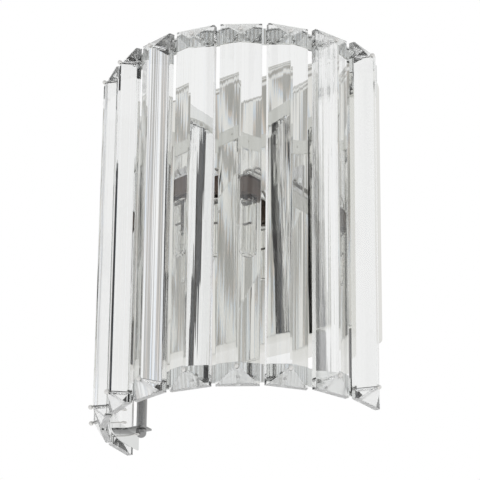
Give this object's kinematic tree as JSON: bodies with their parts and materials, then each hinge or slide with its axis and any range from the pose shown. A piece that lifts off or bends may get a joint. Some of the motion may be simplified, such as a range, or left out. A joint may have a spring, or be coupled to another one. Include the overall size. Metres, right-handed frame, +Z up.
{
  "type": "wall light",
  "caption": "Wall sconce: a half ring of clear glass prism bars pinned to two polished bands in front of a mirror-faced back box, with a capsule lamp inside.",
  "frame": {"origin": "midway between the wall bracket's two fixing slots, on the wall plane", "axes": "+Z up, +Y into the wall, -Y towards the room, +X to the right of someone facing the sconce"},
  "size_m": [0.2124, 0.1297, 0.2512],
  "materials": {
    "clear_glass": "polished clear",
    "polished_chrome": "mirror polished",
    "mirror_sheet": "mirror polished",
    "steel_wire": "bright",
    "zinc_steel": "zinc plated",
    "nickel_strap": "satin",
    "ceramic": "matt glaze",
    "bulb_glass": "clear",
    "contact_brass": "plain",
    "tungsten": "dark",
    "white_nylon": "moulded",
    "grommet_rubber": "matt",
    "live_sleeve": "sleeved wire",
    "neutral_sleeve": "sleeved wire"
  },
  "bodies": {
    "sconce": {"arm_nuts": "zinc_steel", "arm_screws": "polished_chrome", "back_box": "mirror_sheet", "block_screw": "zinc_steel", "bottom_band": "polished_chrome", "bottom_pins": "steel_wire", "cable_grommet": "grommet_rubber", "crystal_bar_01": "clear_glass", "crystal_bar_02": "clear_glass", "crystal_bar_03": "clear_glass", "crystal_bar_04": "clear_glass", "crystal_bar_05": "clear_glass", "crystal_bar_06": "clear_glass", "crystal_bar_07": "clear_glass", "crystal_bar_08": "clear_glass", "crystal_bar_09": "clear_glass", "crystal_bar_10": "clear_glass", "earth_screw": "contact_brass", "holder_contacts": "contact_brass", "holder_screw": "zinc_steel", "lamp_arm": "nickel_strap", "lampholder_body": "ceramic", "left_leg": "polished_chrome", "leg_cap_nuts": "polished_chrome", "leg_nuts": "zinc_steel", "leg_studs": "zinc_steel", "live_lead": "live_sleeve", "neutral_lead": "neutral_sleeve", "right_leg": "polished_chrome", "side_screws": "polished_chrome", "side_spacers": "polished_chrome", "terminal_block": "white_nylon", "terminal_screws": "contact_brass", "top_band": "polished_chrome", "top_pins": "steel_wire", "wall_bracket": "zinc_steel"},
    "lamp": {"lamp_glass": "bulb_glass", "lamp_pins": "steel_wire", "lamp_filament": "tungsten"}
  },
  "joints": [
    {"name": "lamp_pull", "type": "slide", "parent": "sconce", "child": "lamp", "axis": [0, 0, -1], "range_m": [0, 0.01]}
  ]
}
